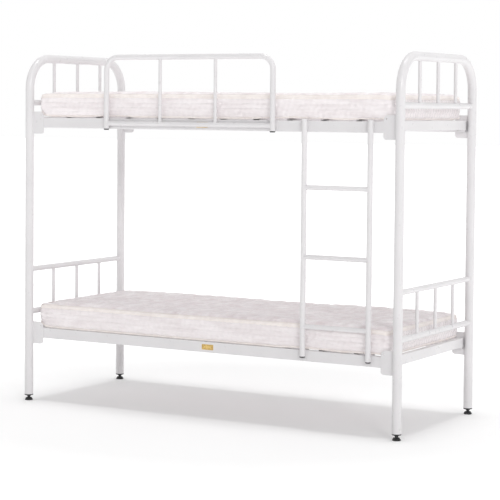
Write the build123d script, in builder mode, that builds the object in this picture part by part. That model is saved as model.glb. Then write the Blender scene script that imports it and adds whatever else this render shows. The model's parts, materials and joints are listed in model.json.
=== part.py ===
"""Steel bunk bed with a hook-on ladder and a hook-on guard rail.

X runs along the bed, +X to the ladder end. Y runs across it, the ladder on the -Y side. Z is up.
The origin is on the floor, midway between the four posts.
"""

from build123d import *
import os

os.makedirs("parts", exist_ok=True)

# ---------------------------------------------------------------- driving dimensions, mm
bed_length = 2000.0  # post axis to post axis
bed_width = 800.0  # post axis to post axis
crown_z = 1685.0  # axis of the tube over each end
crown_radius = 150.0  # bend of the end tubes, at the tube's axis
post_bottom = 30.0  # cut end of the posts, above the floor

post_od = 42.0
post_wall = 1.6
crossbar_od = 28.0
top_bar_od = 25.4
spindle_od = 16.0
thin_wall = 1.3

upper_rail_top = 1395.0
lower_rail_top = 362.0
upper_crossbar_z = 1467.0
lower_crossbar_z = 439.0
lower_top_bar_z = 648.0
spindle_pitch = 200.0

rail_height = 50.0
rail_depth = 25.0
rail_wall = 1.4
rail_corner = 3.0
rail_setback = 6.0  # outer face of a side rail, in from the post axis
rail_end_gap = 22.0  # end of a side rail, in from the post axis
end_rail_height = 45.0
end_rail_outset = 20.0  # outer face of an end rail, in from the post axis
deck_rise = 4.0  # end rails and slats stand this far over the side rails

slat_width = 30.0
slat_height = 20.0
slat_count = 10
slat_pitch = 175.0

plate_thickness = 4.0
plate_reach = 82.0  # free edge of a corner plate, in from the post axis
plate_above = 29.0  # over the side rail's top
plate_below = 29.0  # under the side rail's bottom
plate_top_radius = 24.0
plate_bottom_radius = 14.0
hanging_hole_d = 6.0
hanging_hole_in = 68.5  # from the post axis
hanging_hole_up = 12.0  # over the side rail's top

bolt_d = 8.0
bolt_hole_d = 9.0
bolt_in = 56.0  # bolt axis, in from the post axis
bolt_spacing = 24.0
bolt_head_height = 5.3
bolt_shank = 25.0
hex_across_flats = 13.0
nut_thickness = 6.5
nut_clearance_d = 18.0
washer_od = 16.0
washer_id = 8.4
washer_thickness = 1.6

rail_tube_od = 25.4  # ladder stiles and guard rail hoop
rung_od = 22.0
ladder_left_x = 534.0
ladder_right_x = 862.0
ladder_bottom = 336.0
ladder_top = 1403.0
rung_heights = (472.0, 784.5, 1097.0)

guard_left_x = -538.0
guard_right_x = 370.0
guard_bottom = 1346.0
guard_top_z = 1685.0
guard_radius = 62.0
guard_bar_z = 1371.0
guard_spindles_x = (-235.0, 67.0)

hook_width = 24.0
hook_thickness = 3.0
hook_gap = 0.3  # between a hook and the rail that it hangs on
hook_front_drop = 42.0
hook_back_drop = 25.0
cap_flange = 6.0
cap_insert = 14.0
cap_dome = 3.6

foot_collar = 5.5
foot_collar_round = 1.9
foot_boss = 4.0
foot_boss_d = 21.0
plug_insert = 28.0
stud_d = 10.0
stud_top = 62.0
stud_chamfer = 1.0
stud_hex = 14.0
stud_hex_gap = 0.5  # between the pad and the stud's hexagon
stud_button_d = 13.9  # head at the stud's lower end, held in the pad
pad_od = 38.0
pad_height = 13.0
pad_rim = 5.0
pad_neck_od = 28.0
pad_chamfer = 1.0
socket_d = 14.0
socket_floor = 4.0
socket_ceiling = 10.0
running_gap = 0.05  # all round a pin or plug in its hole

nameplate_length = 62.0
nameplate_height = 25.0
nameplate_thickness = 0.8
nameplate_corner = 2.0
nameplate_lower_x = 26.0
nameplate_upper_x = -13.0

mattress_length = 1890.0
mattress_width = 776.0
mattress_thickness = 115.0
mattress_corner = 34.0
mattress_edge = 10.0
cover_thickness = 8.0  # quilted cloth and its wadding

# ---------------------------------------------------------------- worked out from them
half_length = bed_length / 2
half_width = bed_width / 2
rail_face = half_width - rail_setback
rail_inside = rail_face - rail_depth
rail_half_length = half_length - rail_end_gap
end_rail_x = half_length - end_rail_outset - rail_depth / 2
hang_y = -(rail_face + hook_gap + hook_thickness + rail_tube_od / 2)

ends = {"left": -half_length, "right": half_length}
sides = {"front": -1, "back": 1}
decks = {"upper": upper_rail_top, "lower": lower_rail_top}
spindle_ys = (-spindle_pitch, 0.0, spindle_pitch)


def save(builder, name):
    """Label a finished piece and write it to its own file."""
    builder.part.label = name
    export_step(builder.part, f"parts/{name}.step")


def upright(y):
    """An upright plane along the bed: its local x is X, its local y is Z and it faces -Y."""
    return Plane.XZ.offset(-y)


# ---------------------------------------------------------------- end frames
def end_tube(x):
    """One bent tube: two posts and the crown between them."""
    with BuildPart() as tube:
        with BuildLine(Plane.YZ.offset(x)) as route:
            FilletPolyline(
                (-half_width, post_bottom),
                (-half_width, crown_z),
                (half_width, crown_z),
                (half_width, post_bottom),
                radius=crown_radius,
            )
        with BuildSketch(Plane(origin=route.line @ 0, z_dir=route.line % 0)):
            Circle(post_od / 2)
            Circle(post_od / 2 - post_wall, mode=Mode.SUBTRACT)
        sweep()
    return tube


def cross_tube(x, z, diameter):
    """A straight tube between two posts, its ends coped to them."""
    with BuildPart() as tube:
        with BuildSketch(Plane.XZ):
            with Locations((x, z)):
                Circle(diameter / 2)
                Circle(diameter / 2 - thin_wall, mode=Mode.SUBTRACT)
        extrude(amount=half_width, both=True)
        with Locations((x, -half_width, z), (x, half_width, z)):
            Cylinder(post_od / 2, 2 * diameter, mode=Mode.SUBTRACT)
    return tube


def spindle_set(x, low_z, low_d, high_z, high_d):
    """Three upright tubes between two cross tubes, coped to both."""
    with BuildPart() as spindles:
        with BuildSketch(Plane.XY.offset(low_z)):
            with Locations(*[(x, y) for y in spindle_ys]):
                Circle(spindle_od / 2)
                Circle(spindle_od / 2 - thin_wall, mode=Mode.SUBTRACT)
        extrude(amount=high_z - low_z)
        for z, diameter in ((low_z, low_d), (high_z, high_d)):
            with Locations((x, 0, z)):
                Cylinder(diameter / 2, bed_width, rotation=(90, 0, 0), mode=Mode.SUBTRACT)
    return spindles


for end, end_x in ends.items():
    save(end_tube(end_x), f"{end}_end_tube")
    save(cross_tube(end_x, upper_crossbar_z, crossbar_od), f"{end}_upper_crossbar")
    save(cross_tube(end_x, lower_top_bar_z, top_bar_od), f"{end}_lower_top_bar")
    save(cross_tube(end_x, lower_crossbar_z, crossbar_od), f"{end}_lower_crossbar")
    upper_spindles = spindle_set(end_x, upper_crossbar_z, crossbar_od, crown_z, post_od)
    save(upper_spindles, f"{end}_upper_spindles")
    lower_spindles = spindle_set(
        end_x, lower_crossbar_z, crossbar_od, lower_top_bar_z, top_bar_od
    )
    save(lower_spindles, f"{end}_lower_spindles")


# ---------------------------------------------------------------- corner plates
def corner_plate(sx, sy, rail_top):
    """A plate welded to a post, lying against the outer face of a side rail's end."""
    bottom = rail_top - rail_height - plate_below
    height = rail_height + plate_below + plate_above
    with BuildPart() as plate:
        with BuildSketch(upright(sy * rail_face)) as outline:
            with Locations((sx * (half_length - plate_reach / 2), bottom + height / 2)):
                Rectangle(plate_reach, height)
            free_edge = outline.edges().sort_by(Axis.X)[0 if sx > 0 else -1]
            fillet(free_edge.vertices().sort_by(Axis.Y)[-1], plate_top_radius)
            free_edge = outline.edges().sort_by(Axis.X)[0 if sx > 0 else -1]
            fillet(free_edge.vertices().sort_by(Axis.Y)[0], plate_bottom_radius)
            with Locations((sx * (half_length - hanging_hole_in), rail_top + hanging_hole_up)):
                Circle(hanging_hole_d / 2, mode=Mode.SUBTRACT)
        extrude(amount=-sy * plate_thickness)
        with Locations((sx * half_length, sy * half_width, bottom + height / 2)):
            Cylinder(post_od / 2, 2 * height, mode=Mode.SUBTRACT)
    return plate


for deck, deck_top in decks.items():
    for side, side_y in sides.items():
        for end, end_x in ends.items():
            plate = corner_plate(end_x / half_length, side_y, deck_top)
            save(plate, f"{deck}_{side}_{end}_corner_plate")


# ---------------------------------------------------------------- decks
def side_rail(sy, rail_top):
    """A long rectangular tube, with holes at each end for two bolts and their weld nuts."""
    middle = rail_top - rail_height / 2
    hole_places = [
        (sx * (half_length - bolt_in), middle + dz)
        for sx in (-1, 1)
        for dz in (-bolt_spacing / 2, bolt_spacing / 2)
    ]
    with BuildPart() as rail:
        with BuildSketch(Plane.YZ):
            with Locations((sy * (rail_face - rail_depth / 2), middle)):
                RectangleRounded(rail_depth, rail_height, rail_corner)
                RectangleRounded(
                    rail_depth - 2 * rail_wall,
                    rail_height - 2 * rail_wall,
                    rail_corner - rail_wall,
                    mode=Mode.SUBTRACT,
                )
        extrude(amount=rail_half_length, both=True)
        for start, reach, diameter in (
            (rail_face, rail_depth / 2, nut_clearance_d),
            (rail_inside, -rail_depth / 2, bolt_hole_d),
        ):
            with BuildSketch(upright(sy * start)):
                with Locations(*hole_places):
                    Circle(diameter / 2)
            extrude(amount=sy * reach, mode=Mode.SUBTRACT)
    return rail


def end_rail(sx, rail_top):
    """A rectangular tube across the deck, butted between the side rails."""
    with BuildPart() as rail:
        with BuildSketch(Plane.XZ):
            with Locations((sx * end_rail_x, rail_top + deck_rise - end_rail_height / 2)):
                RectangleRounded(rail_depth, end_rail_height, rail_corner)
                RectangleRounded(
                    rail_depth - 2 * rail_wall,
                    end_rail_height - 2 * rail_wall,
                    rail_corner - rail_wall,
                    mode=Mode.SUBTRACT,
                )
        extrude(amount=rail_inside, both=True)
    return rail


def slat_set(rail_top):
    """Cross slats of rectangular tube, welded between the side rails."""
    first = -slat_pitch * (slat_count - 1) / 2
    places = [
        (first + slat_pitch * i, rail_top + deck_rise - slat_height / 2)
        for i in range(slat_count)
    ]
    with BuildPart() as slats:
        with BuildSketch(Plane.XZ):
            with Locations(*places):
                RectangleRounded(slat_width, slat_height, rail_corner)
                RectangleRounded(
                    slat_width - 2 * thin_wall,
                    slat_height - 2 * thin_wall,
                    rail_corner - thin_wall,
                    mode=Mode.SUBTRACT,
                )
        extrude(amount=rail_inside, both=True)
    return slats


for deck, deck_top in decks.items():
    for side, side_y in sides.items():
        save(side_rail(side_y, deck_top), f"{deck}_{side}_rail")
    for end, end_x in ends.items():
        save(end_rail(end_x / half_length, deck_top), f"{deck}_{end}_rail")
    save(slat_set(deck_top), f"{deck}_slats")

# ---------------------------------------------------------------- deck fasteners
# Each side rail's end is held to its plate by two bolts from inside the bed. Their nuts are
# welded to the back of the plate and stand in the rail's larger holes.
head_start = rail_inside - washer_thickness
bolt_places = [
    (sx * (half_length - bolt_in), deck_top - rail_height / 2 + dz)
    for deck_top in decks.values()
    for sx in (-1, 1)
    for dz in (-bolt_spacing / 2, bolt_spacing / 2)
]

with BuildPart() as deck_bolts:
    for side_y in sides.values():
        with BuildSketch(upright(side_y * head_start)):
            with Locations(*bolt_places):
                Circle(bolt_d / 2)
        extrude(amount=-side_y * bolt_shank)
        with BuildSketch(upright(side_y * head_start)):
            with Locations(*bolt_places):
                RegularPolygon(hex_across_flats / 2, 6, major_radius=False)
        extrude(amount=side_y * bolt_head_height)
save(deck_bolts, "deck_bolts")

with BuildPart() as deck_washers:
    for side_y in sides.values():
        with BuildSketch(upright(side_y * rail_inside)):
            with Locations(*bolt_places):
                Circle(washer_od / 2)
                Circle(washer_id / 2, mode=Mode.SUBTRACT)
        extrude(amount=side_y * washer_thickness)
save(deck_washers, "deck_washers")

with BuildPart() as deck_weld_nuts:
    for side_y in sides.values():
        with BuildSketch(upright(side_y * rail_face)):
            with Locations(*bolt_places):
                RegularPolygon(hex_across_flats / 2, 6, major_radius=False)
                Circle(bolt_d / 2 + running_gap, mode=Mode.SUBTRACT)
        extrude(amount=side_y * nut_thickness)
save(deck_weld_nuts, "deck_weld_nuts")


# ---------------------------------------------------------------- hanging parts
def upright_tube(x, low_z, high_z, closed_top):
    """A tube of the ladder or guard rail, standing in front of the rails."""
    with BuildPart() as tube:
        with BuildSketch(Plane.XY.offset(low_z)):
            with Locations((x, hang_y)):
                Circle(rail_tube_od / 2)
        extrude(amount=high_z - low_z)
        with BuildSketch(Plane.XY.offset(low_z)):
            with Locations((x, hang_y)):
                Circle(rail_tube_od / 2 - thin_wall)
        extrude(amount=high_z - low_z - closed_top, mode=Mode.SUBTRACT)
    return tube


def level_tubes(left_x, right_x, heights, diameter):
    """Level tubes between two uprights, coped to them."""
    middle = (left_x + right_x) / 2
    with BuildPart() as tubes:
        with BuildSketch(Plane.YZ.offset(middle)):
            with Locations(*[(hang_y, z) for z in heights]):
                Circle(diameter / 2)
                Circle(diameter / 2 - thin_wall, mode=Mode.SUBTRACT)
        extrude(amount=(right_x - left_x) / 2, both=True)
        for x in (left_x, right_x):
            with Locations((x, hang_y, (min(heights) + max(heights)) / 2)):
                Cylinder(rail_tube_od / 2, 3 * bed_width, mode=Mode.SUBTRACT)
    return tubes


def hooks(places):
    """Bent strips on the backs of uprights, each over a side rail: places are (x, rail top)."""
    outer = -(rail_face + hook_gap)
    inner = -(rail_inside - hook_gap)
    with BuildPart() as strips:
        for x, rail_top in places:
            with BuildSketch(Plane.YZ.offset(x)):
                with BuildLine():
                    Polyline(
                        (outer - hook_thickness, rail_top - hook_front_drop),
                        (outer - hook_thickness, rail_top + hook_thickness),
                        (inner + hook_thickness, rail_top + hook_thickness),
                        (inner + hook_thickness, rail_top - hook_back_drop),
                        (inner, rail_top - hook_back_drop),
                        (inner, rail_top),
                        (outer, rail_top),
                        (outer, rail_top - hook_front_drop),
                        close=True,
                    )
                make_face()
            extrude(amount=hook_width / 2, both=True)
    return strips


def end_caps(xs, cut_z):
    """Push-in caps under the open lower ends of uprights."""
    with BuildPart() as caps:
        with BuildSketch(Plane.XY.offset(cut_z)):
            with Locations(*[(x, hang_y) for x in xs]):
                Circle(rail_tube_od / 2)
        extrude(amount=-cap_flange)
        fillet(caps.edges().group_by(Axis.Z)[0], cap_dome)
        with BuildSketch(Plane.XY.offset(cut_z)):
            with Locations(*[(x, hang_y) for x in xs]):
                Circle(rail_tube_od / 2 - thin_wall - running_gap)
        extrude(amount=cap_insert)
    return caps


# ---------------------------------------------------------------- ladder
ladder_xs = (ladder_left_x, ladder_right_x)
for name, x in zip(("left", "right"), ladder_xs):
    save(upright_tube(x, ladder_bottom, ladder_top, thin_wall), f"ladder_{name}_stile")
save(level_tubes(*ladder_xs, rung_heights, rung_od), "ladder_rungs")
save(hooks([(x, upper_rail_top) for x in ladder_xs]), "ladder_upper_hooks")
save(hooks([(x, lower_rail_top) for x in ladder_xs]), "ladder_lower_hooks")
save(end_caps(ladder_xs, ladder_bottom), "ladder_end_caps")

# ---------------------------------------------------------------- guard rail
guard_xs = (guard_left_x, guard_right_x)
with BuildPart() as guard_hoop:
    with BuildLine(upright(hang_y)) as hoop_route:
        FilletPolyline(
            (guard_left_x, guard_bottom),
            (guard_left_x, guard_top_z),
            (guard_right_x, guard_top_z),
            (guard_right_x, guard_bottom),
            radius=guard_radius,
        )
    with BuildSketch(Plane(origin=hoop_route.line @ 0, z_dir=hoop_route.line % 0)):
        Circle(rail_tube_od / 2)
        Circle(rail_tube_od / 2 - thin_wall, mode=Mode.SUBTRACT)
    sweep()
save(guard_hoop, "guard_hoop")
save(level_tubes(*guard_xs, (guard_bar_z,), rung_od), "guard_lower_bar")

with BuildPart() as guard_spindles:
    with BuildSketch(Plane.XY.offset(guard_bar_z)):
        with Locations(*[(x, hang_y) for x in guard_spindles_x]):
            Circle(spindle_od / 2)
            Circle(spindle_od / 2 - thin_wall, mode=Mode.SUBTRACT)
    extrude(amount=guard_top_z - guard_bar_z)
    for z, diameter in ((guard_bar_z, rung_od), (guard_top_z, rail_tube_od)):
        with Locations((0, hang_y, z)):
            Cylinder(diameter / 2, bed_length, rotation=(0, 90, 0), mode=Mode.SUBTRACT)
save(guard_spindles, "guard_spindles")
save(hooks([(x, upper_rail_top) for x in guard_xs]), "guard_hooks")
save(end_caps(guard_xs, guard_bottom), "guard_end_caps")

# ---------------------------------------------------------------- feet
# The stud screws up into the plug in the post, here fully home, with its hexagon against the
# plug's boss. Its lower end turns in the pad.
corners = {
    f"{side}_{end}": (end_x, side_y * half_width)
    for side, side_y in sides.items()
    for end, end_x in ends.items()
}
boss_z = post_bottom - foot_collar - foot_boss
hex_z = pad_height + stud_hex_gap

with BuildPart() as post_plugs:
    with BuildSketch(Plane.XY.offset(post_bottom)):
        with Locations(*corners.values()):
            Circle(post_od / 2)
    extrude(amount=-foot_collar)
    fillet(post_plugs.edges().group_by(Axis.Z)[0], foot_collar_round)
    with BuildSketch(Plane.XY.offset(post_bottom)):
        with Locations(*corners.values()):
            Circle(post_od / 2 - post_wall - running_gap)
    extrude(amount=plug_insert)
    with BuildSketch(Plane.XY.offset(boss_z)):
        with Locations(*corners.values()):
            Circle(foot_boss_d / 2)
    extrude(amount=foot_boss)
    with BuildSketch(Plane.XY.offset(boss_z)):
        with Locations(*corners.values()):
            Circle(stud_d / 2 + running_gap)
    extrude(amount=post_bottom + plug_insert - boss_z, mode=Mode.SUBTRACT)
save(post_plugs, "post_plugs")

for place, (x, y) in corners.items():
    with BuildPart() as stud:
        with BuildSketch(Plane.XY.offset(socket_floor)):
            with Locations((x, y)):
                Circle(stud_button_d / 2)
        extrude(amount=socket_ceiling - socket_floor)
        with BuildSketch(Plane.XY.offset(socket_floor)):
            with Locations((x, y)):
                Circle(stud_d / 2)
        extrude(amount=stud_top - socket_floor)
        with BuildSketch(Plane.XY.offset(hex_z)):
            with Locations((x, y)):
                RegularPolygon(stud_hex / 2, 6, major_radius=False)
        extrude(amount=boss_z - hex_z)
        chamfer(stud.edges().group_by(Axis.Z)[-1], stud_chamfer)
    save(stud, f"{place}_foot_stud")

    with BuildPart() as pad:
        with BuildSketch(Plane.XZ.offset(-y)):
            with BuildLine():
                Polyline(
                    (x, 0),
                    (x + pad_od / 2 - pad_chamfer, 0),
                    (x + pad_od / 2, pad_chamfer),
                    (x + pad_od / 2, pad_rim),
                    (x + pad_neck_od / 2, pad_height - pad_chamfer),
                    (x + pad_neck_od / 2 - pad_chamfer, pad_height),
                    (x, pad_height),
                    close=True,
                )
            make_face()
        revolve(axis=Axis((x, y, 0), (0, 0, 1)))
        with BuildSketch(Plane.XY.offset(socket_floor)):
            with Locations((x, y)):
                Circle(socket_d / 2)
        extrude(amount=socket_ceiling - socket_floor, mode=Mode.SUBTRACT)
        with BuildSketch(Plane.XY.offset(socket_floor)):
            with Locations((x, y)):
                Circle(stud_d / 2 + running_gap)
        extrude(amount=pad_height, mode=Mode.SUBTRACT)
    save(pad, f"{place}_foot_pad")

# ---------------------------------------------------------------- nameplates
for deck, plate_x in (("upper", nameplate_upper_x), ("lower", nameplate_lower_x)):
    with BuildPart() as nameplate:
        with BuildSketch(upright(-rail_face)):
            with Locations((plate_x, decks[deck] - rail_height / 2)):
                RectangleRounded(nameplate_length, nameplate_height, nameplate_corner)
        extrude(amount=nameplate_thickness)
    save(nameplate, f"{deck}_nameplate")

# ---------------------------------------------------------------- mattresses
def cushion_block(low_z, inset):
    """A block with rounded corners and edges, that far inside the mattress's outer shape."""
    with BuildPart() as block:
        with BuildSketch(Plane.XY.offset(low_z + inset)):
            RectangleRounded(
                mattress_length - 2 * inset,
                mattress_width - 2 * inset,
                mattress_corner - inset,
            )
        extrude(amount=mattress_thickness - 2 * inset)
        rims = block.edges().group_by(Axis.Z)
        fillet(rims[0] + rims[-1], mattress_edge - inset)
    return block


for deck, deck_top in decks.items():
    deck_z = deck_top + deck_rise
    core = cushion_block(deck_z, cover_thickness)
    save(core, f"{deck}_mattress_core")
    with BuildPart() as cover:
        add(cushion_block(deck_z, 0).part)
        add(core.part, mode=Mode.SUBTRACT)
    save(cover, f"{deck}_mattress_cover")
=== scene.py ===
"""The looks of the steel bunk bed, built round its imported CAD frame.

Metres throughout. X runs along the bed, +X to the ladder end, Z is up, and the ladder hangs on
the -Y side.
"""

import json
import math

import bpy
import numpy as np
from mathutils import Matrix, Vector


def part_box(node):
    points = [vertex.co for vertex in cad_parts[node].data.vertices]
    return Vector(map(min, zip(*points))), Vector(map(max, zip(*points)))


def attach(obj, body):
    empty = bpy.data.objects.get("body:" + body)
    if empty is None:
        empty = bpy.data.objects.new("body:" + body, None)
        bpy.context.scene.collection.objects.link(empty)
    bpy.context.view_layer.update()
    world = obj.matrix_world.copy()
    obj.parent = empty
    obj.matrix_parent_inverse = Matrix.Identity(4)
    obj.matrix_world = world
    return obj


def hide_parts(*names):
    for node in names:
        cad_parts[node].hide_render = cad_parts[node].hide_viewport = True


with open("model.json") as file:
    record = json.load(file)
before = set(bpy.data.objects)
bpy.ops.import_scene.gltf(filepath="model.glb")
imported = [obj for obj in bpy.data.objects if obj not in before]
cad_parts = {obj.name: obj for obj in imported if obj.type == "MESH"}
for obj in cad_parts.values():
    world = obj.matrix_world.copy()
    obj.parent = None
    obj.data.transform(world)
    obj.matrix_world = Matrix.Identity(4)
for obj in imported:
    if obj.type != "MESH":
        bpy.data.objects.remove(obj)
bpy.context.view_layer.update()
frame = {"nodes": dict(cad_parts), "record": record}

MM = 0.001
DECKS = ("lower", "upper")
ENDS = ("left", "right")
SIDES = {"front": -1.0, "back": 1.0}


# ---------------------------------------------------------------- camera
CAMERA_PLACE = Vector((4.224, -7.334, 1.442))
CAMERA_YAW = math.radians(29.82)
CAMERA_PITCH = math.radians(-2.461)
CAMERA_ROLL = math.radians(0.5)
CAMERA_LENS = 126.18
CAMERA_SHIFT = -0.13
SENSOR_WIDTH = 36.0
FAR_CLIP = 200.0


def make_camera():
    """A view of the ladder side, from beyond the ladder end."""
    ahead = Vector(
        (
            -math.sin(CAMERA_YAW) * math.cos(CAMERA_PITCH),
            math.cos(CAMERA_YAW) * math.cos(CAMERA_PITCH),
            math.sin(CAMERA_PITCH),
        )
    )
    level = Vector((math.cos(CAMERA_YAW), math.sin(CAMERA_YAW), 0.0))
    above = level.cross(ahead)
    right = math.cos(CAMERA_ROLL) * level + math.sin(CAMERA_ROLL) * above
    up = math.cos(CAMERA_ROLL) * above - math.sin(CAMERA_ROLL) * level
    camera = bpy.data.objects.new("camera", bpy.data.cameras.new("camera"))
    bpy.context.scene.collection.objects.link(camera)
    turn = Matrix((right, up, -ahead)).transposed()
    camera.matrix_world = Matrix.Translation(CAMERA_PLACE) @ turn.to_4x4()
    camera.data.sensor_width = SENSOR_WIDTH
    camera.data.lens = CAMERA_LENS
    camera.data.shift_y = CAMERA_SHIFT
    camera.data.clip_end = FAR_CLIP
    bpy.context.scene.camera = camera


make_camera()
bpy.context.scene.view_settings.view_transform = "Standard"


# ---------------------------------------------------------------- node helpers
def socket_set(shader, values):
    """Sets a node's inputs by name."""
    for name, value in values.items():
        shader.inputs[name].default_value = value


def new_material(name, base, roughness, **sockets):
    """A Principled material, with its node tree, its shader and its object coordinates."""
    material = bpy.data.materials.new(name)
    material.use_nodes = True
    tree = material.node_tree
    shader = tree.nodes["Principled BSDF"]
    socket_set(shader, {"Base Color": (*base, 1.0), "Roughness": roughness})
    socket_set(shader, {key.replace("_", " "): value for key, value in sockets.items()})
    coordinates = tree.nodes.new("ShaderNodeTexCoord")
    return material, tree, shader, coordinates.outputs["Object"]


def scaled(tree, vector, scale):
    """Coordinates multiplied axis by axis, to stretch a pattern."""
    mapping = tree.nodes.new("ShaderNodeMapping")
    mapping.inputs["Scale"].default_value = scale
    tree.links.new(vector, mapping.inputs["Vector"])
    return mapping.outputs["Vector"]


def noise(tree, vector, scale, detail, roughness=0.5, distortion=0.0):
    """A noise texture's value."""
    node = tree.nodes.new("ShaderNodeTexNoise")
    socket_set(
        node,
        {"Scale": scale, "Detail": detail, "Roughness": roughness, "Distortion": distortion},
    )
    tree.links.new(vector, node.inputs["Vector"])
    return node.outputs["Fac"]


def ramp(tree, value, stops):
    """A colour ramp: stops are (position, colour)."""
    node = tree.nodes.new("ShaderNodeValToRGB")
    elements = node.color_ramp.elements
    while len(elements) < len(stops):
        elements.new(0.5)
    for element, (position, colour) in zip(elements, stops):
        element.position = position
        element.color = (*colour, 1.0)
    tree.links.new(value, node.inputs["Fac"])
    return node.outputs["Color"]


def span(tree, value, low, high, to_low, to_high):
    """A value carried from one range to another, and held at its ends."""
    node = tree.nodes.new("ShaderNodeMapRange")
    for name, number in zip(
        ("From Min", "From Max", "To Min", "To Max"), (low, high, to_low, to_high)
    ):
        node.inputs[name].default_value = number
    tree.links.new(value, node.inputs["Value"])
    return node.outputs["Result"]


def calculate(tree, operation, first, second):
    """A sum, product or power of two values, each an output or a number."""
    node = tree.nodes.new("ShaderNodeMath")
    node.operation = operation
    for socket, value in zip(node.inputs, (first, second)):
        if isinstance(value, (int, float)):
            socket.default_value = value
        else:
            tree.links.new(value, socket)
    return node.outputs["Value"]


def mixed(tree, factor, first, second):
    """A mix of two colours, each an output or three numbers."""
    node = tree.nodes.new("ShaderNodeMix")
    node.data_type = "RGBA"
    tree.links.new(factor, node.inputs["Factor"])
    for socket, value in ((node.inputs[6], first), (node.inputs[7], second)):
        if isinstance(value, tuple):
            socket.default_value = (*value, 1.0)
        else:
            tree.links.new(value, socket)
    return node.outputs[2]


def bump(tree, height, strength, distance, under=None):
    """A normal from a height, laid over another normal where one is given."""
    node = tree.nodes.new("ShaderNodeBump")
    node.inputs["Strength"].default_value = strength
    node.inputs["Distance"].default_value = distance
    tree.links.new(height, node.inputs["Height"])
    if under is not None:
        tree.links.new(under, node.inputs["Normal"])
    return node.outputs["Normal"]


# ---------------------------------------------------------------- materials
def powder_coat():
    """White powder coat: an orange-peel skin with faint thick and thin patches."""
    material, tree, shader, place = new_material(
        "white_powder_coat", (0.75, 0.735, 0.745), 0.3, Coat_Weight=0.25, Coat_Roughness=0.12
    )
    patches = noise(tree, place, 5.0, 3.0)
    colour = ramp(tree, patches, ((0.3, (0.735, 0.72, 0.73)), (0.7, (0.775, 0.76, 0.77))))
    tree.links.new(colour, shader.inputs["Base Color"])
    sheen = noise(tree, place, 38.0, 4.0)
    tree.links.new(span(tree, sheen, 0.3, 0.7, 0.26, 0.4), shader.inputs["Roughness"])
    peel = noise(tree, place, 420.0, 2.0)
    runs = noise(tree, scaled(tree, place, (30.0, 30.0, 9.0)), 1.0, 2.0)
    normal = bump(tree, runs, 0.25, 0.4 * MM)
    tree.links.new(bump(tree, peel, 0.22, 0.12 * MM, normal), shader.inputs["Normal"])
    return material


def black_plastic():
    """Moulded black plastic with a fine grain and a few grey rubs."""
    material, tree, shader, place = new_material(
        "black_moulded_plastic", (0.02, 0.02, 0.022), 0.42
    )
    rubs = noise(tree, place, 90.0, 5.0, 0.6)
    colour = ramp(tree, rubs, ((0.45, (0.016, 0.016, 0.018)), (0.75, (0.05, 0.05, 0.052))))
    tree.links.new(colour, shader.inputs["Base Color"])
    tree.links.new(span(tree, rubs, 0.3, 0.7, 0.34, 0.55), shader.inputs["Roughness"])
    grain = noise(tree, place, 1500.0, 2.0)
    tree.links.new(bump(tree, grain, 0.35, 0.08 * MM), shader.inputs["Normal"])
    return material


def blackened_steel():
    """Black oxide on a screw, rubbed brighter in places."""
    material, tree, shader, place = new_material(
        "blackened_steel", (0.05, 0.05, 0.052), 0.4, Metallic=0.85
    )
    rubs = noise(tree, scaled(tree, place, (200.0, 200.0, 60.0)), 1.0, 4.0)
    colour = ramp(tree, rubs, ((0.4, (0.03, 0.03, 0.032)), (0.8, (0.16, 0.16, 0.165))))
    tree.links.new(colour, shader.inputs["Base Color"])
    tree.links.new(span(tree, rubs, 0.3, 0.8, 0.5, 0.3), shader.inputs["Roughness"])
    turned = tree.nodes.new("ShaderNodeTexWave")
    turned.bands_direction = "Z"
    socket_set(turned, {"Scale": 210.0, "Distortion": 0.4, "Detail": 1.0})
    tree.links.new(place, turned.inputs["Vector"])
    tree.links.new(bump(tree, turned.outputs["Fac"], 0.4, 0.15 * MM), shader.inputs["Normal"])
    return material


def zinc_plate():
    """Bright zinc with a cloudy passivated skin."""
    material, tree, shader, place = new_material(
        "zinc_plated_steel", (0.6, 0.6, 0.58), 0.32, Metallic=1.0
    )
    cloud = noise(tree, place, 260.0, 4.0, 0.6)
    colour = ramp(tree, cloud, ((0.3, (0.5, 0.51, 0.5)), (0.7, (0.68, 0.68, 0.64))))
    tree.links.new(colour, shader.inputs["Base Color"])
    tree.links.new(span(tree, cloud, 0.3, 0.7, 0.25, 0.42), shader.inputs["Roughness"])
    tree.links.new(bump(tree, cloud, 0.3, 0.05 * MM), shader.inputs["Normal"])
    return material


def brass(name, low, high, roughness):
    """Brass brushed along the bed, with duller patches."""
    material, tree, shader, place = new_material(name, high, roughness, Metallic=0.9)
    brushed = noise(tree, scaled(tree, place, (60.0, 2500.0, 2500.0)), 1.0, 3.0)
    dull = noise(tree, place, 130.0, 3.0)
    colour = mixed(tree, span(tree, dull, 0.35, 0.7, 0.0, 0.6), high, low)
    tree.links.new(colour, shader.inputs["Base Color"])
    tree.links.new(
        span(tree, brushed, 0.3, 0.7, roughness - 0.08, roughness + 0.12),
        shader.inputs["Roughness"],
    )
    tree.links.new(bump(tree, brushed, 0.35, 0.05 * MM), shader.inputs["Normal"])
    return material


WAVE_PITCH = 0.314  # a wave texture's scale times the distance between its crests, in metres


def weave(tree, place, pitch):
    """The height of a plain weave: two crossed sets of threads."""
    heights = []
    for direction in ("X", "Z"):
        threads = tree.nodes.new("ShaderNodeTexWave")
        threads.bands_direction = direction
        socket_set(threads, {"Scale": WAVE_PITCH / pitch, "Distortion": 0.6, "Detail": 1.0})
        tree.links.new(place, threads.inputs["Vector"])
        heights.append(threads.outputs["Fac"])
    return calculate(tree, "MULTIPLY", *heights)


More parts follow.
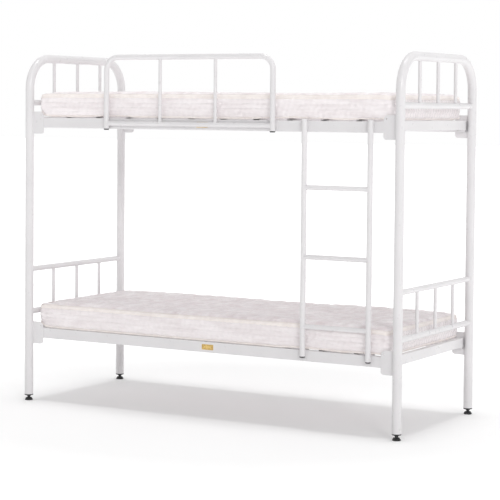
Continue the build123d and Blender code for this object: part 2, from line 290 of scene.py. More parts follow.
def jacquard(name, ground, figure, bands, streaks, gloss):
    """Ticking with a feathery woven figure, under a clear film that creases and glints."""
    material, tree, shader, place = new_material(
        name, ground, 0.6, Coat_Weight=gloss, Coat_Roughness=0.09, Coat_IOR=1.75, Sheen_Weight=0.2
    )
    blots = noise(tree, scaled(tree, place, bands), 1.0, 3.0, 0.55, 0.6)
    streak = noise(tree, scaled(tree, place, streaks), 1.0, 5.0, 0.65, 1.2)
    figure_mask = calculate(
        tree,
        "ADD",
        calculate(tree, "MULTIPLY", blots, 1.1),
        calculate(tree, "MULTIPLY", streak, 0.6),
    )
    shade = span(tree, figure_mask, 0.62, 1.08, 0.0, 1.0)
    tree.links.new(mixed(tree, shade, figure, ground), shader.inputs["Base Color"])
    tree.links.new(span(tree, streak, 0.3, 0.7, 0.5, 0.72), shader.inputs["Roughness"])
    cloth = bump(tree, figure_mask, 0.6, 1.2 * MM)
    cloth = bump(tree, weave(tree, place, 1.3 * MM), 0.3, 0.15 * MM, cloth)
    tree.links.new(cloth, shader.inputs["Normal"])
    folds = noise(tree, scaled(tree, place, (22.0, 40.0, 90.0)), 1.0, 3.0, 0.6, 1.4)
    crackle = noise(tree, scaled(tree, place, (90.0, 130.0, 170.0)), 1.0, 3.0)
    film = bump(tree, folds, 1.0, 7.0 * MM, cloth)
    tree.links.new(bump(tree, crackle, 1.0, 1.8 * MM, film), shader.inputs["Coat Normal"])
    return material


def tape_cloth():
    """Cream binding tape: a fine twill."""
    material, tree, shader, place = new_material(
        "cream_binding_tape", (0.93, 0.87, 0.84), 0.62, Sheen_Weight=0.2, Coat_Weight=0.2
    )
    tone = noise(tree, place, 30.0, 3.0)
    colour = ramp(tree, tone, ((0.3, (0.88, 0.81, 0.78)), (0.7, (0.96, 0.90, 0.87))))
    tree.links.new(colour, shader.inputs["Base Color"])
    twill = tree.nodes.new("ShaderNodeTexWave")
    twill.bands_direction = "DIAGONAL"
    socket_set(twill, {"Scale": 160.0, "Distortion": 0.5, "Detail": 1.0})
    tree.links.new(place, twill.inputs["Vector"])
    tree.links.new(bump(tree, twill.outputs["Fac"], 0.5, 0.25 * MM), shader.inputs["Normal"])
    return material


def glowing_floor():
    """A pale floor that glows as painted light: the glow is weaker near the bed, which paints
    shade under and around it, and stronger far away.
    """
    material, tree, shader, place = new_material("pale_floor_painted_glow", (0.82, 0.82, 0.82), 0.85)
    mottle = noise(tree, place, 0.6, 2.0)
    colour = ramp(tree, mottle, ((0.3, (0.81, 0.81, 0.81)), (0.7, (0.83, 0.83, 0.83))))
    tree.links.new(colour, shader.inputs["Base Color"])
    socket_set(shader, {"Emission Color": (1.0, 1.0, 1.0, 1.0), "Specular IOR Level": 0.0})
    # painted light: emission grows with distance from the bed, leaving painted shade near it
    away = tree.nodes.new("ShaderNodeVectorMath")
    away.operation = "LENGTH"
    tree.links.new(place, away.inputs[0])
    glow = span(tree, away.outputs["Value"], 1.3, 3.4, 0.13, 0.47)
    tree.links.new(glow, shader.inputs["Emission Strength"])
    return material


PAINT = powder_coat()
PLASTIC = black_plastic()
OXIDE = blackened_steel()
ZINC = zinc_plate()
BRASS = brass("brushed_brass", (0.5, 0.32, 0.09), (0.83, 0.6, 0.24), 0.3)
BRASS_TRIM = brass("pressed_brass_border", (0.36, 0.22, 0.07), (0.62, 0.42, 0.15), 0.36)
BORDER_CLOTH = jacquard(
    "mattress_border_cloth",
    (0.95, 0.90, 0.91),
    (0.84, 0.775, 0.785),
    (7.0, 7.0, 24.0),
    (9.0, 9.0, 260.0),
    0.9,
)
PANEL_CLOTH = jacquard(
    "mattress_panel_cloth",
    (0.99, 0.945, 0.955),
    (0.80, 0.71, 0.725),
    (17.0, 9.0, 17.0),
    (30.0, 80.0, 50.0),
    0.3,
)
TAPE = tape_cloth()
FLOOR = glowing_floor()

SLOT_MATERIALS = {
    "white_enamel": PAINT,
    "black_plastic": PLASTIC,
    "blackened_steel": OXIDE,
    "zinc_plated_steel": ZINC,
    "brass_plate": BRASS,
    "mattress_cover": BORDER_CLOTH,
    "mattress_filling": PANEL_CLOTH,
}
for part in frame["record"]["subparts"]:
    mesh = frame["nodes"][part["node"]].data
    mesh.materials.clear()
    mesh.materials.append(SLOT_MATERIALS[part["material_slot"]])


# ---------------------------------------------------------------- mesh helpers
def make_object(name, vertices, faces, material, body=None):
    """A smooth mesh object, which rides on a body where one is named."""
    mesh = bpy.data.meshes.new(name)
    mesh.from_pydata([tuple(v) for v in vertices], [], faces)
    mesh.materials.append(material)
    mesh.polygons.foreach_set("use_smooth", [True] * len(mesh.polygons))
    mesh.update()
    obj = bpy.data.objects.new(name, mesh)
    bpy.context.scene.collection.objects.link(obj)
    if body is not None:
        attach(obj, body)
    return obj


class Sweeps:
    """Beads and strips swept along paths, gathered into one mesh."""

    def __init__(self):
        self.vertices = []
        self.faces = []

    def add(self, rings, closed):
        """Rings of points, each ring round the path; open sweeps get flat ends."""
        start, count = len(self.vertices), len(rings[0])
        for ring in rings:
            self.vertices.extend(ring)
        steps = len(rings) if closed else len(rings) - 1
        for i in range(steps):
            here = start + i * count
            there = start + (i + 1) % len(rings) * count
            for k in range(count):
                n = (k + 1) % count
                self.faces.append((here + k, here + n, there + n, there + k))
        if not closed:
            last = start + (len(rings) - 1) * count
            self.faces.append(tuple(start + k for k in reversed(range(count))))
            self.faces.append(tuple(last + k for k in range(count)))

    def bead(self, path, closed, radius, ripple=0.14, sides=7):
        """A weld bead along (point, normal, normal), with the normals of the two faces."""
        rings = []
        for i, (point, first, second) in enumerate(path):
            swell = radius * (1.0 + ripple * math.sin(2.1 * i) + 0.05 * math.sin(0.7 * i + 1.0))
            if not closed and i in (0, len(path) - 1):
                swell *= 0.55
            centre = point + (first + second) * radius * 0.15
            ring = []
            for k in range(sides):
                angle = 2.0 * math.pi * k / sides
                ring.append(centre + (first * math.cos(angle) + second * math.sin(angle)) * swell)
            rings.append(ring)
        self.add(rings, closed)

    def build(self, name, material, body):
        """The one object that holds all the sweeps."""
        return make_object(name, self.vertices, self.faces, material, body)


def limits(node):
    """Lowest corner, highest corner and centre of a CAD node."""
    low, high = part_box(node)
    return low, high, (low + high) / 2


# ---------------------------------------------------------------- welds
WELD = 1.9 * MM
PLATE_WELD_POINTS = 37
SLAT_COUNT = 10
SLAT_HALF_WIDTH = 15 * MM


def saddle(centre, along, across, small, big, count):
    """The curve where a round tube of radius small, leaving along, meets one of radius big."""
    third = along.cross(across)
    path = []
    for i in range(count):
        angle = 2.0 * math.pi * i / count
        out = across * math.cos(angle) + third * math.sin(angle)
        reach = math.sqrt(big * big - (small * math.sin(angle)) ** 2)
        path.append((centre + along * reach + out * small, along, out))
    return path


def frame_loop(middle, normal, first, second, half_first, half_second, count):
    """A rectangle round a box tube that butts against a flat face."""
    path = []
    corners = ((1, 1), (-1, 1), (-1, -1), (1, -1))
    for i, (a, b) in enumerate(corners):
        c, d = corners[(i + 1) % 4]
        for k in range(count):
            t = k / count
            u, v = a + (c - a) * t, b + (d - b) * t
            out = (first * u * (abs(u) > 0.99) + second * v * (abs(v) > 0.99)).normalized()
            path.append((middle + first * u * half_first + second * v * half_second, normal, out))
    return path


X, Y, Z = Vector((1, 0, 0)), Vector((0, 1, 0)), Vector((0, 0, 1))
post_low, post_high, post_mid = limits("left_end_tube")
post_x = -post_mid.x
post_radius = (post_high.x - post_low.x) / 2
post_y = post_high.y - post_radius
crown_z = post_high.z - post_radius

post_welds = Sweeps()
for end in ENDS:
    for bar in ("upper_crossbar", "lower_top_bar", "lower_crossbar"):
        low, high, middle = limits(f"{end}_{bar}")
        small = (high.z - low.z) / 2
        for sign in (-1.0, 1.0):
            centre = Vector((middle.x, sign * post_y, middle.z))
            post_welds.bead(saddle(centre, -sign * Y, Z, small, post_radius, 40), True, WELD)
    for name, below, above in (
        ("upper_spindles", "upper_crossbar", None),
        ("lower_spindles", "lower_crossbar", "lower_top_bar"),
    ):
        low, high, middle = limits(f"{end}_{name}")
        small = (high.x - low.x) / 2
        bar_low, bar_high, bar = limits(f"{end}_{below}")
        low_radius, low_z = (bar_high.z - bar_low.z) / 2, bar.z
        if above is None:
            high_radius, high_z = post_radius, crown_z
        else:
            bar_low, bar_high, bar = limits(f"{end}_{above}")
            high_radius, high_z = (bar_high.z - bar_low.z) / 2, bar.z
        for y in (low.y + small, middle.y, high.y - small):
            foot = Vector((middle.x, y, low_z))
            head = Vector((middle.x, y, high_z))
            post_welds.bead(saddle(foot, Z, Y, small, low_radius, 28), True, WELD * 0.8)
            post_welds.bead(saddle(head, -Z, Y, small, high_radius, 28), True, WELD * 0.8)

for deck in DECKS:
    for side, sign in SIDES.items():
        for end in ENDS:
            low, high, middle = limits(f"{deck}_{side}_{end}_corner_plate")
            toward = -1.0 if end == "left" else 1.0
            outer, inner = (high.y, low.y) if sign > 0 else (low.y, high.y)
            for face, y in ((1.0, outer), (-1.0, inner)):
                inset = abs(y) - post_y
                x = toward * (post_x - math.sqrt(post_radius**2 - inset**2))
                away = Vector((-toward, sign * inset / post_radius, 0)).normalized()
                heights = np.linspace(0.03, 0.97, PLATE_WELD_POINTS) * (high.z - low.z) + low.z
                path = [(Vector((x, y, z)), sign * face * Y, away) for z in heights]
                post_welds.bead(path, False, WELD * 1.15)
post_welds.build("frame_post_welds", PAINT, "frame")

deck_welds = Sweeps()
for deck in DECKS:
    low, high, middle = limits(f"{deck}_slats")
    first = low.x + SLAT_HALF_WIDTH
    pitch = (high.x - low.x - 2 * SLAT_HALF_WIDTH) / (SLAT_COUNT - 1)
    slat_half_height = (high.z - low.z) / 2
    for sign in (-1.0, 1.0):
        edge = high.y if sign > 0 else low.y
        for i in range(SLAT_COUNT):
            centre = Vector((first + pitch * i, edge, middle.z))
            loop = frame_loop(centre, -sign * Y, X, Z, SLAT_HALF_WIDTH, slat_half_height, 6)
            deck_welds.bead(loop, True, WELD * 0.7)
        for end in ENDS:
            rail_low, rail_high, rail = limits(f"{deck}_{end}_rail")
            centre = Vector((rail.x, edge, rail.z))
            half_x, half_z = (rail_high.x - rail_low.x) / 2, (rail_high.z - rail_low.z) / 2
            deck_welds.bead(
                frame_loop(centre, -sign * Y, X, Z, half_x, half_z, 12), True, WELD * 0.9
            )
deck_welds.build("frame_deck_welds", PAINT, "frame")


def hook_welds(sweeps, node, xs, tube_radius, hang_y):
    """Two short beads where each hook's strip lies against its tube."""
    low = limits(node)[0]
    for x in xs:
        for sign in (-1.0, 1.0):
            reach = 0.42 * tube_radius
            gap = math.sqrt(tube_radius**2 - reach**2)
            away = Vector((sign, 0.35, 0)).normalized()
            path = [
                (
                    Vector((x + sign * reach, (low.y + hang_y + gap) / 2, low.z + t)),
                    away,
                    Vector((sign * 0.3, -1.0, 0)).normalized(),
                )
                for t in np.linspace(2 * MM, 36 * MM, 14)
            ]
            sweeps.bead(path, False, WELD * 0.9)


ladder_welds = Sweeps()
stiles = [limits(f"ladder_{side}_stile") for side in ("left", "right")]
tube_radius = (stiles[0][1].x - stiles[0][0].x) / 2
hang_y = stiles[0][2].y
stile_xs = [stile[2].x for stile in stiles]
low, high, middle = limits("ladder_rungs")
rung_radius = (high.y - low.y) / 2
for z in (low.z + rung_radius, middle.z, high.z - rung_radius):
    for x, sign in zip(stile_xs, (1.0, -1.0)):
        centre = Vector((x, hang_y, z))
        ladder_welds.bead(
            saddle(centre, sign * X, Z, rung_radius, tube_radius, 32), True, WELD * 0.85
        )
hook_welds(ladder_welds, "ladder_upper_hooks", stile_xs, tube_radius, hang_y)
hook_welds(ladder_welds, "ladder_lower_hooks", stile_xs, tube_radius, hang_y)
ladder_welds.build("ladder_welds", PAINT, "ladder")

guard_welds = Sweeps()
low, high, middle = limits("guard_hoop")
guard_xs = (low.x + tube_radius, high.x - tube_radius)
guard_top = high.z - tube_radius
bar_low, bar_high, bar = limits("guard_lower_bar")
bar_radius = (bar_high.z - bar_low.z) / 2
for x, sign in zip(guard_xs, (1.0, -1.0)):
    centre = Vector((x, hang_y, bar.z))
    guard_welds.bead(
        saddle(centre, sign * X, Z, bar_radius, tube_radius, 32), True, WELD * 0.85
    )
low, high, middle = limits("guard_spindles")
small = (high.y - low.y) / 2
for x in (low.x + small, high.x - small):
    foot, head = Vector((x, hang_y, bar.z)), Vector((x, hang_y, guard_top))
    guard_welds.bead(saddle(foot, Z, X, small, bar_radius, 28), True, WELD * 0.8)
    guard_welds.bead(saddle(head, -Z, X, small, tube_radius, 28), True, WELD * 0.8)
hook_welds(guard_welds, "guard_hooks", guard_xs, tube_radius, hang_y)
guard_welds.build("guard_rail_welds", PAINT, "guard_rail")


# ---------------------------------------------------------------- nameplates
BORDER_INSET = 3 * MM
RIVET_INSET = 6 * MM  # from the border
RIVET_PROFILE = ((-0.3, 2.0), (0.4, 1.9), (0.9, 1.3), (1.1, 0.4))  # rise and radius, in mm


def nameplate_trim(deck):
    """A raised border and two rivets on a blank plate."""
    low, high, middle = limits(f"{deck}_nameplate")
    trim = Sweeps()
    half_x = (high.x - low.x) / 2 - BORDER_INSET
    half_z = (high.z - low.z) / 2 - BORDER_INSET
    centre = Vector((middle.x, low.y, middle.z))
    for inset, size in ((0.0, 0.75 * MM), (2.2 * MM, 0.4 * MM)):
        loop = frame_loop(centre, -Y, X, Z, half_x - inset, half_z - inset, 8)
        trim.bead(loop, True, size, 0.0, 8)
    for sign in (-1.0, 1.0):
        rings = []
        for rise, radius in RIVET_PROFILE:
            rings.append(
                [
                    centre
                    + X * (sign * (half_x - RIVET_INSET) + radius * MM * math.cos(a))
                    + Z * radius * MM * math.sin(a)
                    - Y * rise * MM
                    for a in np.linspace(0, 2 * math.pi, 16, endpoint=False)
                ]
            )
        trim.add(rings, False)
    trim.build(f"{deck}_nameplate_border", BRASS_TRIM, "frame")


for deck in DECKS:
    nameplate_trim(deck)


# ---------------------------------------------------------------- mattresses
class Waves:
    """A smooth random field: a sum of seeded plane waves, about -1 to 1."""

    def __init__(self, seed, length, count=14, stretch=(1.0, 1.0, 1.0)):
        random = np.random.RandomState(seed)
        direction = random.normal(size=(count, 3))
        direction /= np.linalg.norm(direction, axis=1)[:, None]
        sizes = length * random.uniform(0.7, 1.5, count)
        self.waves = direction * (2 * math.pi / sizes)[:, None] / np.array(stretch)
        self.phases = random.uniform(0, 2 * math.pi, count)

    def __call__(self, points):
        total = np.cos(points @ self.waves.T + self.phases).sum(1)
        return total / math.sqrt(len(self.phases) / 2.0) / 1.6


GRID_X = 210
GRID_Y = 86
CORNER_RADIUS = 28 * MM  # in plan
END_SWELL = 9 * MM  # how far the cloth stands past each end of the CAD solid
CHANNELS = 4
CHANNEL = 21.25 * MM  # a channel's height
PIPING = 8 * MM  # the height of the band below the channels
TAPE_FOOT = PIPING + CHANNELS * CHANNEL
CLOTH_FRAMES = 14
CLOTH_CAP = 6 * MM  # the furthest that the simulation may move a point
HUMP_SHIFT = 15 * MM  # a hump's middle from its tube
HUMP_REACH = 120 * MM
HUMP_RISE = 4.2 * MM
RAIL_RISE = 3.5 * MM  # of the under edge, over the end rails


def smooth(t):
    """A smooth step from 0 to 1."""
    t = np.clip(t, 0.0, 1.0)
    return t * t * (3.0 - 2.0 * t)


def border_heights(thickness):
    """The heights of the border's rings, which crowd together at the stitch lines."""
    heights = [3 * MM, PIPING]
    for channel in range(CHANNELS):
        foot = PIPING + channel * CHANNEL
        heights += [foot + CHANNEL * part for part in (0.16, 0.5, 0.84, 1.0)]
    return heights + [TAPE_FOOT + (thickness - TAPE_FOOT) * part for part in (0.3, 0.6, 0.85)]


def plan_points(low, high):
    """A grid over a rectangle with rounded corners, as an array [x][y] of points."""
    half = np.array([(high.x - low.x) / 2 + END_SWELL, (high.y - low.y) / 2])
    u = np.linspace(-half[0], half[0], GRID_X + 1)
    v = np.linspace(-half[1], half[1], GRID_Y + 1)
    grid = np.stack(np.meshgrid(u, v, indexing="ij"), -1)
    over = np.maximum(np.abs(grid) - (half - CORNER_RADIUS), 0.0)
    length = np.linalg.norm(over, axis=-1)
    scale = over.max(-1) / np.maximum(length, 1e-9)
    rounded = np.sign(grid) * (half - CORNER_RADIUS + over * scale[..., None])
    return np.where((over > 0).all(-1)[..., None], rounded, grid), half


def outward(flat, half):
    """Unit vectors away from the rounded rectangle's core, for points on its rim."""
    out = flat - np.clip(flat, -(half - CORNER_RADIUS), half - CORNER_RADIUS)
    return out / np.maximum(np.linalg.norm(out, axis=1), 1e-9)[:, None]


def edge_distance(flat, half):
    """How far inside the rounded rectangle each point is."""
    over = np.maximum(np.abs(flat) - (half - CORNER_RADIUS), 0.0)
    straight = (half - np.abs(flat)).min(1)
    return np.where((over > 0).all(1), CORNER_RADIUS - np.linalg.norm(over, axis=1), straight)


def mattress_mesh(low, high):
    """The closed cover: an under and an over panel, and a border of rings between their rims."""
    grid, half = plan_points(low, high)
    flat = grid.reshape(-1, 2)
    thickness = high.z - low.z
    edge = np.maximum(edge_distance(flat, half), 0.0)
    core = np.clip(flat, -(half - CORNER_RADIUS), half - CORNER_RADIUS)
    shrink = 7 * MM * np.exp(-edge / 0.035) / CORNER_RADIUS
    drawn_in = core + (flat - core) * (1.0 - shrink)[:, None]
    over_z = thickness - 5 * MM * np.exp(-edge / 0.016)
    under_z = 2.5 * MM * np.exp(-edge / 0.03)
    count = (GRID_X + 1) * (GRID_Y + 1)
    number = np.arange(count).reshape(GRID_X + 1, GRID_Y + 1)
    rim = np.concatenate(
        [number[:-1, 0], number[-1, :-1], number[:0:-1, -1], number[0, :0:-1]]
    )
    points = [np.column_stack([drawn_in, under_z]), np.column_stack([drawn_in, over_z])]
    out = outward(flat[rim], half)
    heights = border_heights(thickness)
    for height in heights:
        t = height / thickness
        pull = 1 * MM + 6 * MM * abs(2 * t - 1) ** 3
        points.append(np.column_stack([flat[rim] - out * pull, np.full(len(rim), height)]))
    quads = np.stack([number[:-1, :-1], number[1:, :-1], number[1:, 1:], number[:-1, 1:]], -1)
    quads = quads.reshape(-1, 4)
    faces = [quads[:, ::-1], quads + count]
    rows = [rim] + [2 * count + k * len(rim) + np.arange(len(rim)) for k in range(len(heights))]
    rows.append(rim + count)
    for lower, upper in zip(rows, rows[1:]):
        faces.append(
            np.column_stack([lower, np.roll(lower, -1), np.roll(upper, -1), upper])
        )
    return np.concatenate(points), np.concatenate(faces), rows, half, thickness


def settle(points, half, thickness, seed, hooks, gap):
    """The slow shapes of a mattress in use: lifted corners, soft hollows, humps over hooks."""
    x, y, z = points.T
    flat = points[:, :2]
    level = z / thickness
    low_part, high_part = np.clip(1 - level, 0, 1), np.clip(level, 0, 1)
    looseness = np.where(x > 0, 0.4, 1.0)
    for reach, rise, fall in ((46 * MM, 24 * MM, 5 * MM), (130 * MM, 3 * MM, 1 * MM)):
        corner = np.clip((np.abs(flat) - (half - reach)) / reach, 0, 1).prod(1)
        lift = looseness * rise * low_part**1.5 - fall * high_part
        z = z + smooth(corner / 0.8) * lift
    at_end = smooth((np.abs(x) - (half[0] - 45 * MM)) / (30 * MM))
    z = z + at_end * low_part**2 * RAIL_RISE
    inside = smooth(edge_distance(flat, half) / (90 * MM))
    ground = np.column_stack([flat, 0 * x])
    hollow = Waves(seed, 0.5, stretch=(1.3, 1.0, 1.0))(ground)
    z = z + high_part**3 * (hollow * (1.2 + 1.8 * inside) - 0.8) * MM
    rim = 1 - inside
    droop = Waves(seed + 7, 0.6)(ground)
    z = z + rim * low_part**3 * (droop * 0.5 + gap) * MM
    front = smooth((-y - (half[1] - 40 * MM)) / (30 * MM))
    for hook_x in hooks:
        hump = np.exp(-(((x - hook_x - HUMP_SHIFT) / HUMP_REACH) ** 4))
        z = z + front * hump * low_part**2 * HUMP_RISE
    swell = Waves(seed + 9, 0.34, stretch=(1.0, 1.0, 1.4))(points)
    side = np.clip(1 - np.abs(2 * level - 1) ** 4, 0, 1) * (1 - inside)
    out = outward(flat, half) * (side * swell * 1.6 * MM)[:, None]
    return np.column_stack([flat + out, z])


def quilt(points, normals, half, thickness, seed, creases):
    """Stitched channels in the border, a meander in the panels, puckers, and single creases."""
    level = points[:, 2] / thickness
    inner = edge_distance(points[:, :2], half)
    top = smooth((level - 0.88) / 0.08) * smooth((inner - 14 * MM) / (26 * MM))
    ground = points * np.array([1.0, 1.0, 0.0])
    meander = Waves(seed + 3, 0.105, 18, (1.5, 1.0, 1.0))(ground)
    pillow = np.minimum(np.abs(meander), 0.8) * 4.2 - 3.0 * np.exp(-((meander / 0.13) ** 2))
    tufts = Waves(seed + 5, 0.04, 18, (1.2, 0.8, 1.0))(ground)
    move = top * (pillow + 0.9 * tufts)
    height = points[:, 2] - PIPING
    border = smooth((24 * MM - inner) / (12 * MM)) * (height > -2 * MM) * (level < 0.86)
    across = np.clip(height / CHANNEL, 0, CHANNELS) % 1.0
    row = np.floor(np.clip(height / CHANNEL, 0, CHANNELS - 0.01))
    pucker = Waves(seed + 13, 0.036, 20, (1.0, 1.0, 0.6))(points + row[:, None] * 0.37)
    puff = 1.0 - np.abs(2.0 * across - 1.0) ** 4
    move = move + border * (puff * (3.4 + 1.3 * pucker) - 1.9)
    ruck = Waves(seed + 17, 0.022, 20, (1.0, 1.0, 2.5))(points)
    move = move + border * (1 - puff) * ruck * 0.5
    for start, end, width, depth in creases:
        start, end = np.array(start), np.array(end)
        run = end - start
        t = np.clip((points - start) @ run / (run @ run), 0, 1)
        away = np.linalg.norm(points - start - t[:, None] * run, axis=1) / width
        fade = np.sin(np.pi * np.clip(0.08 + 0.84 * t, 0, 1))
        move = move + depth * fade * (0.7 * np.exp(-((away - 1.7) ** 2)) - np.exp(-(away**2)))
    return points + normals * (move * MM)[:, None]


def simulate(cover, pins):
    """Cloth with pressure and a little spare fabric, held at its seams; no point moves far."""
    mesh = cover.data
    rest = np.empty(len(mesh.vertices) * 3)
    mesh.vertices.foreach_get("co", rest)
    rest = rest.reshape(-1, 3)
    group = cover.vertex_groups.new(name="pins")
    group.add([int(pin) for pin in pins], 1.0, "REPLACE")
    cloth = cover.modifiers.new("cloth", "CLOTH")
    settings = cloth.settings
    settings.quality = 4
    settings.mass = 0.25
    settings.tension_stiffness = 18.0
    settings.compression_stiffness = 18.0
    settings.shear_stiffness = 8.0
    settings.bending_stiffness = 0.5
    settings.use_pressure = True
    settings.uniform_pressure_force = 4.0
    settings.shrink_min = -0.03
    settings.vertex_group_mass = "pins"
    settings.effector_weights.gravity = 0.0
    cloth.collision_settings.use_collision = False
    cloth.point_cache.frame_start = 1
    cloth.point_cache.frame_end = CLOTH_FRAMES
    for number in range(1, CLOTH_FRAMES + 1):
        bpy.context.scene.frame_set(number)
    shaped = cover.evaluated_get(bpy.context.evaluated_depsgraph_get()).data
    moved = np.empty(len(shaped.vertices) * 3)
    shaped.vertices.foreach_get("co", moved)
    cover.modifiers.clear()
    cover.vertex_groups.clear()
    bpy.context.scene.frame_set(1)
    step = moved.reshape(-1, 3) - rest
    length = np.maximum(np.linalg.norm(step, axis=1), 1e-9)
    return rest + step * (np.minimum(length, CLOTH_CAP) / length)[:, None]


def set_points(obj, points):
    """Moves the mesh's points and gives back their normals."""
    obj.data.vertices.foreach_set("co", np.ascontiguousarray(points, np.float32).ravel())
    obj.data.update()
    normals = np.empty(len(points) * 3)
    obj.data.vertices.foreach_get("normal", normals)
    return normals.reshape(-1, 3)


def subdivide(obj):
    """One level of subdivision, applied."""
    modifier = obj.modifiers.new("smooth", "SUBSURF")
    modifier.levels = 1
    shaped = obj.evaluated_get(bpy.context.evaluated_depsgraph_get())
    mesh = bpy.data.meshes.new_from_object(shaped)
    obj.modifiers.clear()
    old = obj.data
    obj.data = mesh
    bpy.data.meshes.remove(old)


def top_tape(deck, points, normals, rows, seed):
    """The binding tape that hugs the top shoulder: a band laid on the border's last rings."""
    last = rows[-1]
    inward = -normals[last] * np.array([1.0, 1.0, 0.0]) * 5 * MM + np.array([0, 0, 1.6 * MM])
    lines = [points[row] for row in rows[-5:]] + [points[last] + inward]
    lifts = [normals[row] for row in rows[-5:]] + [normals[last] * 0.3 + np.array([0, 0, 0.95])]
    ripple = Waves(seed, 0.03, 18, (1.0, 1.0, 3.0))
    front, back = [], []
    for k, (line, lift) in enumerate(zip(lines, lifts)):
        raised = (0.7, 1.5, 1.7, 1.7, 1.5, 0.6)[k] + 0.45 * ripple(line)
        front.append(line + lift * (raised * MM)[:, None])
        back.append(line - lift * 1.2 * MM)
    section = np.stack(front + back[::-1], 1)
    band(f"{deck}_mattress_top_tape", section, f"{deck}_mattress")


def under_piping(deck, points, normals, rows, seed):
    """The narrower tape round the under seam: an oval roll."""
    line = (points[rows[0]] + points[rows[1]]) / 2 + np.array([0, 0, 0.6 * MM])
    out = normals[rows[1]] * np.array([1.0, 1.0, 0.0])
    out /= np.linalg.norm(out, axis=1)[:, None]
    ripple = Waves(seed, 0.03, 18)(line)
    section = []
    for angle in np.linspace(0, 2 * math.pi, 12, endpoint=False):
        wide = (3.0 * MM * math.cos(angle) + 1.0 * MM) * (1 + 0.15 * ripple)
        tall = 5.2 * MM * math.copysign(abs(math.sin(angle)) ** 0.8, math.sin(angle))
        section.append(line + out * wide[:, None] + np.array([0, 0, tall]))
    band(f"{deck}_mattress_under_piping", np.stack(section, 1), f"{deck}_mattress")


def band(name, section, body):
    """A closed loop of sections, as a smooth piece in tape cloth."""
    count, sides = section.shape[:2]
    number = np.arange(count * sides).reshape(count, sides)
    ahead, beside = np.roll(number, -1, 0), np.roll(number, -1, 1)
    both = np.roll(ahead, -1, 1)
    faces = np.stack([number, ahead, both, beside], -1).reshape(-1, 4)
    make_object(name, section.reshape(-1, 3), faces.tolist(), TAPE, body)


# A crease runs from one point to another, measured from the middle of the mattress's underside,
# with its width in metres and its depth in millimetres.
CREASES = {
    "lower": (
        ((0.40, -0.37, 0.115), (0.63, -0.10, 0.115), 0.010, 3.2),
        ((0.62, -0.36, 0.115), (0.80, -0.22, 0.115), 0.009, 2.2),
        ((0.855, -0.388, 0.088), (0.925, -0.375, 0.035), 0.007, 2.6),
        ((0.885, -0.388, 0.092), (0.945, -0.345, 0.060), 0.006, 2.2),
        ((0.80, -0.388, 0.020), (0.90, -0.388, 0.060), 0.008, 2.0),
        ((-0.90, -0.388, 0.085), (-0.84, -0.388, 0.030), 0.008, 2.2),
        ((-0.60, -0.20, 0.115), (-0.38, 0.05, 0.115), 0.012, 2.4),
        ((0.10, 0.10, 0.115), (0.36, 0.30, 0.115), 0.011, 2.4),
        ((0.944, -0.28, 0.090), (0.944, -0.24, 0.030), 0.008, 2.2),
        ((0.944, 0.10, 0.092), (0.944, 0.16, 0.020), 0.008, 2.2),
    ),
    "upper": (
        ((0.735, -0.388, 0.090), (0.750, -0.388, 0.012), 0.0065, 2.6),
        ((0.775, -0.388, 0.095), (0.765, -0.388, 0.020), 0.006, 2.4),
        ((0.800, -0.388, 0.090), (0.815, -0.388, 0.030), 0.006, 2.0),
        ((-0.62, -0.388, 0.090), (-0.60, -0.388, 0.020), 0.008, 1.8),
        ((0.900, -0.385, 0.090), (0.935, -0.365, 0.040), 0.006, 2.2),
        ((-0.900, -0.385, 0.085), (-0.935, -0.370, 0.040), 0.007, 2.2),
        ((0.944, 0.0, 0.092), (0.944, 0.05, 0.020), 0.008, 2.2),
    ),
}
HOOK_XS = {"upper": [*guard_xs, *stile_xs], "lower": stile_xs}
GAPS = {"upper": 1.2, "lower": -1.8}  # under the rim, in millimetres
for seed, deck in ((11, "lower"), (23, "upper")):
    low, high, middle = limits(f"{deck}_mattress_cover")
    base = np.array([middle.x, middle.y, low.z])
    points, faces, rows, half, thickness = mattress_mesh(low, high)
    points = settle(points, half, thickness, seed, HOOK_XS[deck], GAPS[deck])
    cover = make_object(
        f"{deck}_mattress_cover_cloth", points + base, faces.tolist(), BORDER_CLOTH
    )
    under = np.arange((GRID_X + 1) * (GRID_Y + 1))
    held = [rows[1], rows[2], rows[-4], rows[-3], rows[-2], rows[-1]]
    held += [rows[2 + 4 * k][k % 3 :: 3] for k in range(1, CHANNELS)]
    points = simulate(cover, np.unique(np.concatenate([under, *held]))) - base
    normals = set_points(cover, points + base)
    points = quilt(points, normals, half, thickness, seed, CREASES[deck]) + base
    normals = set_points(cover, points)
    cover.data.materials.append(PANEL_CLOTH)
    panels = 2 * GRID_X * GRID_Y
    slots = (np.arange(len(faces)) < panels).astype(np.int32)
    cover.data.polygons.foreach_set("material_index", slots)
    subdivide(cover)
    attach(cover, f"{deck}_mattress")
    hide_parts(f"{deck}_mattress_cover", f"{deck}_mattress_core")
    top_tape(deck, points, normals, rows, seed)
    under_piping(deck, points, normals, rows, seed + 1)


# ---------------------------------------------------------------- studio
def soft_sun(name, azimuth, elevation, strength, angle):
    """A distant soft box; azimuth is its direction from +X towards -Y, in degrees."""
    lamp = bpy.data.lights.new(name, "SUN")
    lamp.energy = strength
    lamp.angle = angle
    obj = bpy.data.objects.new(name, lamp)
    bpy.context.scene.collection.objects.link(obj)
    a, e = math.radians(azimuth), math.radians(elevation)
    away = Vector((math.cos(a) * math.cos(e), -math.sin(a) * math.cos(e), math.sin(e)))
    obj.location = away * 8.0
    obj.rotation_euler = (-away).to_track_quat("-Z", "Y").to_euler()


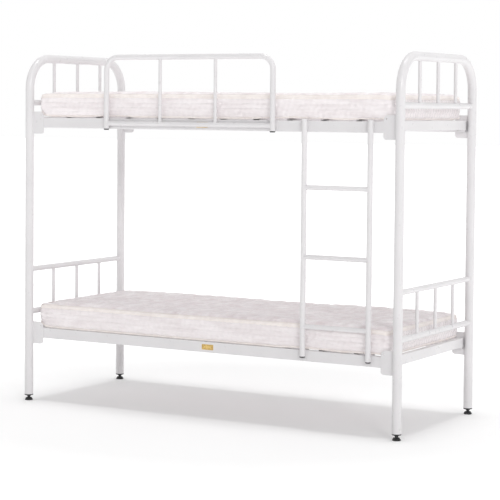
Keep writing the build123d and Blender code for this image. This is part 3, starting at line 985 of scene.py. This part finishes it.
WINDOW_WAY = (0.766, -0.643, 0.0)
WINDOW_NARROWNESS = 2.5
WINDOW_STRENGTH = 0.75
WALLS = (("X", 1.0, 0.2), ("X", -1.0, 0.5), ("Y", 1.0, 0.95), ("Z", 1.0, 0.55))
FLOOR_REACH = 60.0


def studio():
    """Three suns, a white room that lights the bed unevenly, and the floor."""
    soft_sun("key_right", 45.0, 18.0, 0.68, 0.25)
    soft_sun("key_front", 98.0, 20.0, 0.05, 0.2)
    soft_sun("overhead", 0.0, 90.0, 1.1, 0.24)

    world = bpy.data.worlds.new("studio")
    bpy.context.scene.world = world
    world.use_nodes = True
    tree = world.node_tree
    tree.nodes.clear()
    output = tree.nodes.new("ShaderNodeOutputWorld")
    mix = tree.nodes.new("ShaderNodeMixShader")
    path = tree.nodes.new("ShaderNodeLightPath")
    room = tree.nodes.new("ShaderNodeBackground")
    seen = tree.nodes.new("ShaderNodeBackground")
    place = tree.nodes.new("ShaderNodeTexCoord")
    axes = tree.nodes.new("ShaderNodeSeparateXYZ")
    tree.links.new(place.outputs["Generated"], axes.inputs[0])
    facing = tree.nodes.new("ShaderNodeVectorMath")
    facing.operation = "DOT_PRODUCT"
    facing.inputs[1].default_value = WINDOW_WAY
    tree.links.new(place.outputs["Generated"], facing.inputs[0])
    window = span(tree, facing.outputs["Value"], 0.0, 1.0, 0.0, 1.0)
    narrowed = calculate(tree, "POWER", window, WINDOW_NARROWNESS)
    glow = calculate(tree, "MULTIPLY", narrowed, WINDOW_STRENGTH)
    for axis, side, strength in WALLS:
        wall = span(tree, axes.outputs[axis], 0.0, side, 0.0, strength)
        glow = calculate(tree, "ADD", glow, wall)
    seen.inputs["Color"].default_value = (1.0, 1.0, 1.0, 1.0)
    tree.links.new(glow, room.inputs["Strength"])
    tree.links.new(path.outputs["Is Camera Ray"], mix.inputs[0])
    tree.links.new(room.outputs[0], mix.inputs[1])
    tree.links.new(seen.outputs[0], mix.inputs[2])
    tree.links.new(mix.outputs[0], output.inputs["Surface"])

    signs = ((-1, -1), (1, -1), (1, 1), (-1, 1))
    corners = [(FLOOR_REACH * a, FLOOR_REACH * b, 0) for a, b in signs]
    make_object("floor", corners, [(0, 1, 2, 3)], FLOOR)


studio()
